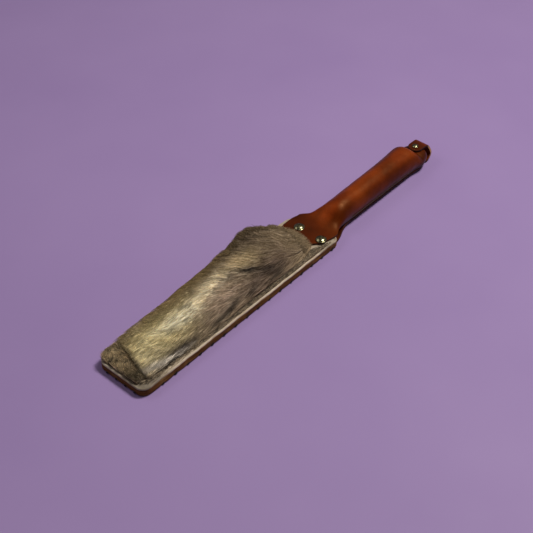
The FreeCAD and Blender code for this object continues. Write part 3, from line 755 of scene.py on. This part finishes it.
def strand_mesh(name, paths, widths, colours, material=FUR):
    """Closed three-sided tapering strands; colours has one value for each point of a path."""
    count, stops = paths.shape[:2]
    tangent = np.gradient(paths, axis=1)
    tangent /= np.linalg.norm(tangent, axis=2)[..., None] + 1e-9
    side = np.cross(tangent, (0.0, 0.0, 1.0))
    side /= np.linalg.norm(side, axis=2)[..., None] + 1e-9
    up = np.cross(side, tangent)
    s = np.linspace(0, 1, stops)
    taper = (1 - 0.9 * s ** 1.6)[None, :, None]
    radius = 0.5 * widths[:, None, None] * taper
    rings = []
    for angle in (90, 210, 330):
        a = radians(angle)
        rings.append(paths + radius * (cos(a) * side + sin(a) * up))
    body = np.stack(rings, 2)[:, :-1]
    apex = paths[:, -1:, None, :]
    points = np.concatenate((body.reshape(count, -1, 3), apex.reshape(count, 1, 3)), axis=1)
    per = points.shape[1]
    tris = [(0, 2, 1)]
    for k in range(stops - 2):
        for n in range(3):
            a, b = 3 * k + n, 3 * k + (n + 1) % 3
            tris += [(a, b, b + 3), (a, b + 3, a + 3)]
    last = 3 * (stops - 2)
    tris += [(last, last + 1, per - 1), (last + 1, last + 2, per - 1), (last + 2, last, per - 1)]
    faces = (np.array(tris)[None] + per * np.arange(count)[:, None, None]).reshape(-1, 3)
    tone = np.repeat(colours[:, :-1], 3, axis=1)
    tone = np.concatenate((tone, colours[:, -1:]), axis=1).reshape(-1, 3)

    mesh = bpy.data.meshes.new(name)
    mesh.vertices.add(count * per)
    mesh.vertices.foreach_set("co", (points.reshape(-1) * MM).astype(np.float32))
    mesh.loops.add(faces.size)
    mesh.loops.foreach_set("vertex_index", faces.reshape(-1).astype(np.int32))
    mesh.polygons.add(len(faces))
    mesh.polygons.foreach_set("loop_start", np.arange(0, faces.size, 3, dtype=np.int32))
    mesh.polygons.foreach_set("use_smooth", np.ones(len(faces), bool))
    mesh.update(calc_edges=True)
    mesh.materials.append(material)
    obj = add_object(name, mesh)
    paint(obj, tone)
    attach(obj, "swatter")


def hairs(full):
    return full


def fade(colour, root, gain, power=1.0):
    """Colours along each hair, darkest at its root."""
    return colour[:, None, :] * (root + gain * ALONG ** power)[None, :, None]


def fur_start(y):
    return table(y, PARTING)


def fur_stop(y):
    return table(y, FUR_END)


PAD_COLUMNS = 46
PAD_NEAR = -24.6
PAD_MARGIN = 0.6


def make_pelt():
    """Dense undercoat: a closed lumpy pad under the long pile and one under the short pile."""
    for name, is_long, rows, steep, slot, node, material in (
            ("pelt_long", True, 150, 50, "fur", "fur_main", FUR),
            ("pelt_short", False, 24, 8, "fur_short", "fur_tip", FUR_SHORT)):
        v = np.linspace(0, 1, PAD_COLUMNS)[None, :]
        t = np.linspace(0, 1, rows)[:, None]

        def along(y, inset):
            start = fur_start(y) + 2.0 if is_long else TIP + 2.8 + inset
            stop = fur_stop(y) if is_long else fur_start(y) + 4.5
            return start + (stop - start) * t

        low = table(along(PAD_NEAR + (FAR_EDGE - PAD_NEAR) * v, 0), NEAR_EDGE) + PAD_MARGIN
        y = low + (FAR_EDGE - PAD_MARGIN - low) * v
        x = along(y, corner_inset(y))
        if is_long:
            height = pile(x, y)
            height = np.maximum(height - np.minimum(2.0, 0.4 * height), 0.7)
        else:
            height = 2.1 + 0.3 * ripple((x, y), 8, 40)
        height = height + 0.15 * ripple((x, y), 5, 41)
        rim = np.minimum(np.minimum(v * 16, (1 - v) * 30), np.minimum(t, 1 - t) * steep)
        z = bed(x) + 0.15 + height * np.clip(rim + 0.3, 0, 1) ** 0.5
        top = np.stack((x, y, z), -1).reshape(-1, 3)
        bottom = top.copy()
        bottom[:, 2] = bed(top[:, 0]) - 0.05
        points = np.vstack((top, bottom))
        count = len(top)
        faces = grid_faces(rows, PAD_COLUMNS)
        faces += [tuple(corner + count for corner in face[::-1]) for face in faces]
        near, far = range(0, count, PAD_COLUMNS), range(PAD_COLUMNS - 1, count, PAD_COLUMNS)
        first, last = range(PAD_COLUMNS), range(count - PAD_COLUMNS, count)
        border = [*zip(near, near[1:]), *zip(last, last[1:]), *zip(far[1:], far), *zip(first[1:], first)]
        faces += [(b, a, a + count, b + count) for a, b in border]
        obj = mesh_object(name, points, faces, [material], slot, node)
        paint(obj, 0.55 * tint(points[:, 0], points[:, 1]) if is_long
              else np.ones((len(points), 3)) * rgb(74, 62, 48))


LONG_ZONES = (-206, -157, -112, -70, -30, 17)
LONG_HAIRS = 7400


def make_long_fur():
    for index, (low, high) in enumerate(zip(LONG_ZONES, LONG_ZONES[1:])):
        wanted = hairs(LONG_HAIRS)
        rng = np.random.default_rng(100 + index)
        x = rng.uniform(low, high, wanted * 3)
        y = rng.uniform(-25.5, FAR_EDGE, wanted * 3)
        inside = ((x > fur_start(y) + 1.5) & (x < fur_stop(y) - 0.2) & (y > table(x, NEAR_EDGE) + 0.3))
        x, y = x[inside][:wanted], y[inside][:wanted]
        count = len(x)
        length = rng.uniform(0.75, 1.25, count) * (19 + 5 * smooth(x, -120, -40))
        length *= 1 - 0.4 * smooth(x, -2, 14)
        room = (x - fur_start(y)) / np.maximum(np.cos(np.radians(flow(x, y))), 0.3)
        length = np.minimum(length, np.maximum(room + rng.normal(1.2, 0.9, count), 2.2))
        paths, shade = grow(x, y, length, 0.14, 200 + index, 2.4, flow)
        colour = tint(x, y) * shade[:, None]
        # painted highlight: the brightest hairs turned paler
        pale = 0.2 * np.clip(shade - 1, 0, 1)[:, None]
        colour += pale * (colour.mean(axis=1, keepdims=True) - colour)
        widths = rng.uniform(0.32, 0.54, count)
        strand_mesh(f"fur_long_{index + 1}", paths, widths, fade(colour, 0.42, 0.86, 0.7))


def loose_strands(name, rng, x, y, paths, glow, gain, widths):
    """Strands in the colours of the fur under them, each a little lighter or darker."""
    colour = tint(x, y) * np.exp(rng.normal(glow, 0.3, len(x)))[:, None]
    strand_mesh(name, paths, rng.uniform(*widths, len(x)), fade(colour, 0.5, gain))


def make_far_fringe():
    """Loose tufts along the far side of the fur, standing a little off it."""
    wanted = hairs(3000)
    rng = np.random.default_rng(151)
    centres = rng.uniform(-182, 0, 120)
    tuft = rng.integers(0, len(centres), wanted)
    x = centres[tuft] + rng.normal(0, 1.6, wanted)
    y = rng.uniform(16, 30, wanted)
    length = rng.uniform(7, 14, wanted)
    turn = flow(x, y) + 14 + 20 * rng.normal(0, 1, len(centres))[tuft] + rng.normal(0, 10, wanted)
    sink = -0.8 - np.abs(rng.normal(0, 1.5, len(centres)))[tuft] + rng.normal(0, 0.6, wanted)
    sink *= 0.35 + 0.65 * smooth(x, -110, -60)
    paths = lie(x, y, turn, rng.normal(6, 12, wanted), length, 2.0, sink, rng.uniform(0, 1.3, wanted))
    paths[..., 2] = np.minimum(paths[..., 2], 38.2)
    loose_strands("fur_far_fringe", rng, x, y, paths, 0.1, 0.7, (0.28, 0.46))


def make_end_rim():
    """Loose pale hair where the fur ends in an arc over the handle's tab."""
    wanted = hairs(2600)
    rng = np.random.default_rng(131)
    y = rng.uniform(-24.0, FAR_EDGE, wanted)
    x = fur_stop(y) - 0.2 - 9.0 * rng.random(wanted) ** 1.6
    length = rng.uniform(4.0, 8.5, wanted)
    outward = 180 - 75 * y / 27 + rng.normal(0, 28, wanted)
    paths = lie(x, y, outward, rng.normal(0, 22, wanted), length, 3.0, rng.normal(-0.2, 0.5, wanted),
                rng.uniform(-0.8, 1.1, wanted))
    loose_strands("fur_end_rim", rng, x, y, paths, 0.12, 0.75, (0.28, 0.5))


def make_margin_hair():
    """Sparse hair between the fur and the rolled edge, dark and pale, and stubble on the shoulder."""
    wanted = hairs(5200)
    rng = np.random.default_rng(137)
    x = rng.uniform(TIP + 8, 40, wanted)
    spread = 1.7 + 1.0 * smooth(x, -110, -20)
    y = table(x, NEAR_EDGE) + 1.0 - np.abs(rng.normal(0, 1, wanted)) * spread
    stubble = rng.random(wanted) < 0.2
    x = np.where(stubble, -14 + 48 * rng.random(wanted) ** 1.5, x)
    y = np.where(stubble, rng.uniform(-26.8, -17, wanted), y)
    clear = (x < 2) | (y < -24.6 + 0.033 * np.maximum(40 - x, 0) ** 1.6)
    x, y = x[clear], y[clear]
    count = len(x)
    length = rng.uniform(2.0, 7.0, count)
    heading = np.radians(rng.normal(-2, 15, count))
    px = x[:, None] - np.cos(heading)[:, None] * length[:, None] * ALONG
    py = np.maximum(y[:, None] + np.sin(heading)[:, None] * length[:, None] * ALONG, -EDGE + 2.2)
    pz = HIDE_TOP + 0.1 + rng.uniform(0.1, 1.3, count)[:, None] * np.sin(pi * (0.15 + 0.7 * ALONG))
    shade = np.where(rng.random(count) < 0.5, 0.16 + 0.2 * smooth(x, -30, 10), 1.0)
    shade *= np.exp(rng.normal(0, 0.3, count))
    colours = rgb(176, 156, 128) * shade[:, None, None] * np.ones((1, HAIR_STEPS + 1, 1))
    strand_mesh("fur_margin", np.stack((px, py, pz), -1), rng.uniform(0.22, 0.42, count), colours)


def tip_heading(x, y):
    return 95 + 70 * ripple((x, y), 17, 51, 2)


def corner_inset(y):
    """How far the short patch's outline steps back from the tip towards its rounded corners."""
    return 8.5 * (1 - np.sqrt(1 - np.clip((np.abs(y - 2) - 16.5) / 8.5, 0, 0.98) ** 2))


def make_short_fur():
    wanted = hairs(7000)
    rng = np.random.default_rng(61)
    x = rng.uniform(TIP + 2.6, -185, wanted * 3)
    y = rng.uniform(-22, FAR_EDGE, wanted * 3)
    inside = ((x > TIP + 2.6 + corner_inset(y)) & (x < fur_start(y) + 4.0)
              & (y > table(x, NEAR_EDGE) + 0.3))
    x, y = x[inside][:wanted], y[inside][:wanted]
    count = len(x)
    length = rng.uniform(3.4, 6.0, count)
    paths, shade = grow(x, y, length, 0.10, 63, 16, tip_heading)
    rise = 1 - (1 - ALONG) ** 2
    height = rng.uniform(2.4, 3.9, count)
    paths[..., 2] = HIDE_TOP + 0.2 + height[:, None] * rise
    paths[..., 0] = np.maximum(paths[..., 0], TIP + 1.9 + rng.uniform(0, 0.6, count)[:, None])
    paths[..., 1] = np.clip(paths[..., 1], -23.2, 29.3)
    dark = smooth(-y, -4, 15)[:, None]
    colour = np.ones((count, 3)) * rgb(146, 128, 98) * (1 - 0.6 * dark) * shade[:, None] ** 1.5
    strand_mesh("fur_short_pile", paths, rng.uniform(0.34, 0.52, count), fade(colour, 0.5, 0.65), FUR_SHORT)


# ---- handle

TUBE_Y = -5.0
TUBE_START = 71.4
TUBE_END = 181.4

# Each section: outer face of the leather from the stitched edge of its upper side, over the top and the
# far side, and back underneath to the stitched edge of its lower side.  Points are (Y, Z).
ANGLES = (200, 170, 135, 100, 65, 30, -5, -40, -70, -100)


def tube_section(radius_y, radius_z, y, z, power=1.0):
    """Tube whose two edges meet low on its near side; power under 1 makes it slot shaped."""
    points = []
    for angle in ANGLES:
        c, s = cos(radians(angle)), sin(radians(angle))
        points.append((y + radius_y * copysign(abs(c) ** power, c),
                       z + radius_z * copysign(abs(s) ** power, s)))
    low = z - radius_z
    lip = y - 0.905 * radius_y
    return ([(lip, low + 0.5 * radius_z)] + points
            + [(y - 0.56 * radius_y, low + 0.13 * radius_z), (y - 0.76 * radius_y, low + 0.19 * radius_z),
               (lip, low + 0.33 * radius_z)])


FLAT = [(-24.5, 10.9), (-20.5, 11), (-15, 11.1), (-8, 11.2), (-1, 11.3), (9, 11.2), (21.4, 10.9),
        (22.6, 5.5), (22, 0.25), (12, 0.12), (0, 0.12), (-12, 0.12), (-18, 0.12), (-24.3, 0.12)]
RISING = [(-20.8, 10.4), (-18.9, 11.6), (-15.5, 13.2), (-9.5, 15), (-2.5, 15.8), (6, 14.6), (14, 11.8),
          (17.4, 6.2), (15.2, 1.6), (8, 0.3), (-2, 0.12), (-11, 0.12), (-17, 0.2), (-22.6, 0.5)]
NECK = [(-18, 7.8), (-18.5, 10.6), (-18.2, 15), (-13.8, 21.4), (-6, 24.3), (2, 22.9), (7.8, 18),
        (9.7, 11.6), (6.6, 4.3), (0.6, 0.9), (-6.5, 0.2), (-12.8, 1.2), (-16.2, 1.8), (-19, 2.3)]

# the tube's sections: X, half width, half height, middle Y, middle Z and power
TUBE = (
    (TUBE_START, 13.2, 13.5, -5.5, 13.5), (90, 13.3, 13.5, -5.3, 13.6), (110, 13.5, 13.6, -5.2, 13.7),
    (130, 13.7, 13.6, -5.1, 13.7), (150, 14.1, 13.7, -4.8, 13.7), (168, 14.9, 13.7, -4.2, 13.7),
    (176, 15.3, 13.7, -4, 13.7), (180, 15.5, 13.3, -4.1, 13.35), (184, 15.7, 11.9, -4.5, 12.3, 0.96),
    (187, 15.8, 9.8, -4.8, 11.1, 0.88), (189.2, 15.6, 8.15, -5.1, 10.3, 0.82),
    (193, 14.7, 8, -5.4, 10.3, 0.82), (197, 13.4, 7.9, -5.6, 10.3, 0.84),
    (200.5, 12, 7.6, -5.6, 10.3, 0.85), (203.5, 9.9, 6.3, -5.4, 10.3, 0.85),
    (204.8, 7.6, 4.6, -5.2, 10.3, 0.85), (205.3, 5, 3, -5, 10.3, 0.85),
    (205.4, 2.6, 1.5, -5, 10.3, 0.85),
)
SECTIONS = [(SHOULDER, FLAT), (52.0, RISING), (61.5, NECK)]
SECTIONS += [(place, tube_section(*sizes)) for place, *sizes in TUBE]

# points over the top, round the far side and underneath, and the last one of the first two runs
OVER, ROUND, UNDER = 34, 12, 22
OVER_END, ROUND_END = OVER - 1, OVER + ROUND - 2
TAB_ROWS = 18
TOP_START = ((-1, 37.5), (-0.96, 31), (-0.92, 28.6), (-0.82, 23.8), (-0.64, 18.4), (-0.47, 14.6),
             (-0.2, 9.5), (0.2, 6.5), (0.6, 8.2), (0.8, 13), (0.87, 16.6), (0.95, 22.4), (1, 30.5))


def section_line(points):
    """Section resampled in its three runs: over the top, round the far side, and underneath."""
    fine = 12
    whole = spline(points, 13 * fine + 1)
    over, far, under = (whole[np.linspace(start * fine, end * fine, count).round().astype(int)]
                        for start, end, count in ((0, 6, OVER), (6, 8, ROUND), (8, 13, UNDER)))
    return np.vstack((over, far[1:], under[1:]))


def section_at(x, places, lines):
    """Points of the section at x, on smooth curves through the lines at places."""
    k = int(np.clip(np.searchsorted(places, x, side="right") - 1, 0, len(places) - 2))
    after = min(k + 2, len(places) - 1)
    gap = places[k + 1] - places[k]
    t = (x - places[k]) / gap
    slope0 = (lines[k + 1] - lines[k - 1]) / (places[k + 1] - places[k - 1]) * gap if k else 0.0
    slope1 = (lines[after] - lines[k]) / (places[after] - places[k]) * gap
    h = ((2 * t ** 3 - 3 * t ** 2 + 1) * lines[k] + (t ** 3 - 2 * t ** 2 + t) * slope0
         + (3 * t ** 2 - 2 * t ** 3) * lines[k + 1] + (t ** 3 - t ** 2) * slope1)
    return np.column_stack((np.full(len(h), x), h))


def tab_rows(first):
    """Rows of the two tabs on the blade, from their rims to the first section."""
    across = np.clip((first[:, 1] - TAB_MIDDLE) / TAB_HALF_WIDTH, -1, 1)
    rim = np.full(len(first), SHOULDER - 1.0)
    rim[:OVER] = table(across[:OVER], TOP_START)
    lower = across[ROUND_END:] * 0.9995
    rim[ROUND_END:] = SHOULDER - TAB_NOSE + TAB_HALF_WIDTH - TAB_HALF_WIDTH * np.sqrt(1 - lower ** 2)
    rows = []
    for t in np.linspace(0, 1, TAB_ROWS)[:-1]:
        row = first.copy()
        row[:, 0] = rim + t * (SHOULDER - rim)
        over = row[:OVER]
        shape = 1 - smooth(over[:, 0], 33, SHOULDER + 1)
        over[:, 1] *= np.where(over[:, 1] > 0, 1 + 0.09 * shape, 1 - 0.035 * shape)
        over[:, 2] = np.minimum(over[:, 2], TAB_TOP + 0.3)
        rows.append(row)
    return rows


def make_handle():
    places = np.array([place for place, _ in SECTIONS])
    lines = np.array([section_line(points) for _, points in SECTIONS])
    stations = np.concatenate((np.linspace(SHOULDER, TUBE_START, 24)[:-1],
                               np.linspace(TUBE_START, TUBE_END, 64)[:-1],
                               np.linspace(TUBE_END, 203.0, 40)[:-1],
                               [203.0, 203.8, 204.4, 204.8, 205.1, 205.3, 205.4]))
    rows = [section_at(x, places, lines) for x in stations]
    grid = np.array(tab_rows(rows[0]) + rows)

    def keep(i, j):
        return i >= TAB_ROWS - 1 or j < OVER_END or j >= ROUND_END

    points = grid.reshape(-1, 3)
    relief = 0.16 * ripple(points, 21, 71) + 0.07 * ripple(points, 6, 72)
    tube = smooth(points[:, 0], SHOULDER - 10, TUBE_START)
    centre_line = np.array((0, TUBE_Y, 12.0))
    outward = (points - centre_line) * np.array((0, 1, 1))
    outward /= np.linalg.norm(outward, axis=1)[:, None] + 1e-9
    under_limit = smooth(points[:, 2], 1.0, 4.0)
    butt = 1 - smooth(points[:, 0], 180, 188)
    points = points + outward * (relief * tube * under_limit * butt)[:, None]
    faces = grid_faces(*grid.shape[:2], keep)
    used = np.unique(faces)
    obj = mesh_object("handle_wrap", points[used], np.searchsorted(used, faces).tolist(),
                      [HANDLE, HANDLE_EDGE], "handle_leather", "handle_leather")
    thicken(obj, SHEET, 0.45)
    x, y, z = mesh_points(obj).T
    # dark on the blade, lighter up the neck, dark again at the pinched end
    shade = 0.48 + 0.77 * smooth(x, 42, 60) - 0.12 * smooth(x, 66, 86) - 0.64 * smooth(x, 183, 190)
    # painted shade: darker on the near side, under the neck and on the far side
    neck = smooth(x, 44, 54) * (1 - smooth(x, 70, 86))
    shade = shade * (1 - 0.38 * smooth(-y, 12, 17.5) * smooth(x, 40, 70))
    shade = shade * (1 - 0.4 * neck * smooth(-y, 3, 14))
    shade = shade * (1 - 0.5 * smooth(y, -3, 6) * smooth(x, 46, 76))
    # a painted highlight on top of the neck, and the seam low on the near side darkened, partly its own dark
    # band and partly painted shade
    shade += 0.75 * np.exp(-((x - 56) / 9.0) ** 2) * smooth(y, -13, -6) * (1 - smooth(y, -2, 5))
    seam = smooth(-y, 13, 16) * (1 - smooth(z, 7.5, 12)) * smooth(x, 40, 70)
    shade = shade * (1 - 0.85 * seam) * (1 + 0.12 * ripple((x, y, z), 24, 73))
    paint(obj, shade[:, None] * np.ones(3))


SEAM_START, SEAM_PITCH, SEAM_STITCHES = 76.6, 4.4, 22
SEAM_LENGTH = 3.0
SEAM_RADIUS = 0.42
# each lip's row of stitches: Y, Z, and the direction out of the leather
SEAM_ROWS = ((-18.15, 8.9, (0, -0.95, -0.3)), (-15.9, 2.7, (0, -0.5, -0.86)))


def make_seam_stitches():
    """Thread along the seam's two lips: short stitches that dip into their holes."""
    knots = ((0, -0.7), (0.25, 0.05), (SEAM_LENGTH / 2, 0.22), (SEAM_LENGTH - 0.25, 0.05),
             (SEAM_LENGTH, -0.7))
    paths = []
    for index in range(SEAM_STITCHES):
        for y, z, out in SEAM_ROWS:
            base = np.array((SEAM_START + index * SEAM_PITCH, y, z))
            paths.append(spline([base + np.array((step, 0, 0)) + lift * np.array(out)
                                 for step, lift in knots], 13))
    points, faces = tube_mesh(paths, SEAM_RADIUS, 8)
    mesh_object("seam_thread", points, faces, [TAN_THREAD], "tan_thread", "seam_stitches")


# ---- strap and rivets

STRAP_WIDTH = 14.6
STRAP_THICKNESS = 2.05
STRAP_LINE = ((189.2, 20.5), (192, 20.6), (196.5, 20.6), (202, 20.5), (206.2, 20), (209.4, 18.4),
              (211.7, 15.4), (212.9, 11.6), (212.9, 8), (211.8, 4.6), (209.4, 1.9), (206, 0.45),
              (202, 0.05), (196.5, 0), (192, 0), (189.2, 0))
TAIL_ROUNDING = 6.6
TWIST = 2.6


def make_strap():
    """Folded strap, its two tails rounded, its bight a little twisted."""
    dense = spline(STRAP_LINE, 600)
    run = np.concatenate(([0], np.cumsum(np.linalg.norm(np.diff(dense, axis=0), axis=1))))
    rows, columns = 96, 21
    grid = []
    for t in np.linspace(0, 1, rows):
        for v in np.linspace(-1, 1, columns):
            start = TAIL_ROUNDING * (1 - sqrt(1 - min(abs(v), 0.998) ** 2))
            s = start + t * (run[-1] - 2 * start)
            x, z = (float(np.interp(s, run, dense[:, k])) for k in (0, 1))
            low = float(smooth(x, 196, 206) * (1 - smooth(z, 8, 18)))
            grid.append((x, TUBE_Y + v * (STRAP_WIDTH / 2) - TWIST * low, z))
    points = np.array(grid)
    points[:, 1] += 0.12 * ripple(points, 13, 81)
    obj = mesh_object("strap", points, grid_faces(rows, columns), [STRAP, STRAP_EDGE], "strap_leather",
                      "hanging_loop", "loop")
    thicken(obj, STRAP_THICKNESS, 0.35)
    x, y, z = mesh_points(obj).T
    paint(obj, (0.62 + 0.5 * smooth(x, 200, 208))[:, None] * np.ones(3))


# a cap's section from its middle to its underside, as shares of its radius and height
CAP_PROFILE = ((0, 1), (0.16, 0.995), (0.34, 0.96), (0.52, 0.88), (0.68, 0.76), (0.8, 0.62), (0.87, 0.5),
               (0.905, 0.44), (0.945, 0.45), (0.98, 0.38), (1, 0.24), (0.985, 0.08), (0.93, -0.03),
               (0.6, -0.05))
CAP_TURNS = 56


def make_rivet_cap(node):
    """Pressed cap: a low dome over a rolled rim."""
    low, high = box_mm(node)
    radius, height = (high[0] - low[0]) / 2, high[2] - low[2]
    middle = (low + high) / 2
    points = [(middle[0], middle[1], low[2] + height)]
    for r, z in CAP_PROFILE[1:]:
        for n in range(CAP_TURNS):
            angle = 2 * pi * n / CAP_TURNS
            points.append((middle[0] + radius * r * cos(angle),
                           middle[1] + radius * r * sin(angle), low[2] + height * z))
    faces = [(0, 1 + n, 1 + (n + 1) % CAP_TURNS) for n in range(CAP_TURNS)]
    faces += wall_faces(len(CAP_PROFILE) - 1, CAP_TURNS, base=1, flip=True)
    faces.append(tuple(reversed(range(len(points) - CAP_TURNS, len(points)))))
    points = np.array(points)
    points[:, 2] += 0.05 * ripple(points, 4.5, 91) * (points[:, 2] > low[2] + 0.4 * height)
    mesh_object(node.replace("_cap", "_dome"), points, faces, [METAL], "nickel", node)


def paint_cad(node, material):
    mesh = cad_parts[node].data
    mesh.materials.clear()
    mesh.materials.append(material)


# ---- floor, light, camera

def make_floor():
    size, drop = 6.0, -0.0002
    mesh = bpy.data.meshes.new("floor")
    corners = [(size * x, size * y, drop) for x, y in ((-1, -1), (1, -1), (1, 1), (-1, 1))]
    mesh.from_pydata(corners, [], [(0, 1, 2, 3)])
    mesh.materials.append(FLOOR)
    add_object("floor", mesh)


def aimed(direction):
    return Vector(direction).to_track_quat("-Z", "Y").to_euler()


def make_light(name, place, aim, size, power, colour):
    data = bpy.data.lights.new(name, "AREA")
    data.shape = "RECTANGLE"
    data.size, data.size_y = size
    data.energy = power
    data.color = colour
    obj = add_object(name, data)
    obj.location = place
    obj.rotation_euler = aimed(Vector(aim) - Vector(place))


def make_studio():
    make_light("key_light", (0.52, -0.34, 1.48), (0.02, -0.05, 0), (0.38, 0.38), 19.5, (1.0, 0.985, 0.95))
    make_light("back_light", (-0.5, 0.9, 1.2), (0, 0, 0), (0.8, 0.6), 2.6, (0.98, 0.97, 1.0))
    world = bpy.data.worlds.new("studio")
    world.use_nodes = True
    background = world.node_tree.nodes["Background"]
    background.inputs["Color"].default_value = (0.84, 0.80, 0.88, 1)
    background.inputs["Strength"].default_value = 0.13
    bpy.context.scene.world = world


def make_camera():
    data = bpy.data.cameras.new("camera")
    data.lens = 73.3
    data.sensor_width = 36
    data.clip_start = 0.01
    obj = add_object("camera", data)
    obj.location = (-0.5823, -0.4884, 0.6836)
    obj.rotation_euler = aimed((0.552, 0.4872, -0.6767))
    bpy.context.scene.camera = obj


bpy.context.scene.view_settings.view_transform = "Standard"
make_outer_sole()
make_inner_sole()
make_hide()
make_sole_stitches()
make_pelt()
make_long_fur()
make_far_fringe()
make_end_rim()
make_margin_hair()
make_short_fur()
make_handle()
make_seam_stitches()
make_strap()
for cap in ("flare_rivet_left_cap", "flare_rivet_right_cap", "butt_rivet_cap"):
    make_rivet_cap(cap)
for post in ("flare_rivet_left_post", "flare_rivet_right_post", "butt_rivet_post"):
    paint_cad(post, METAL)
paint_cad("handle_core", WOOD)
make_floor()
make_studio()
make_camera()
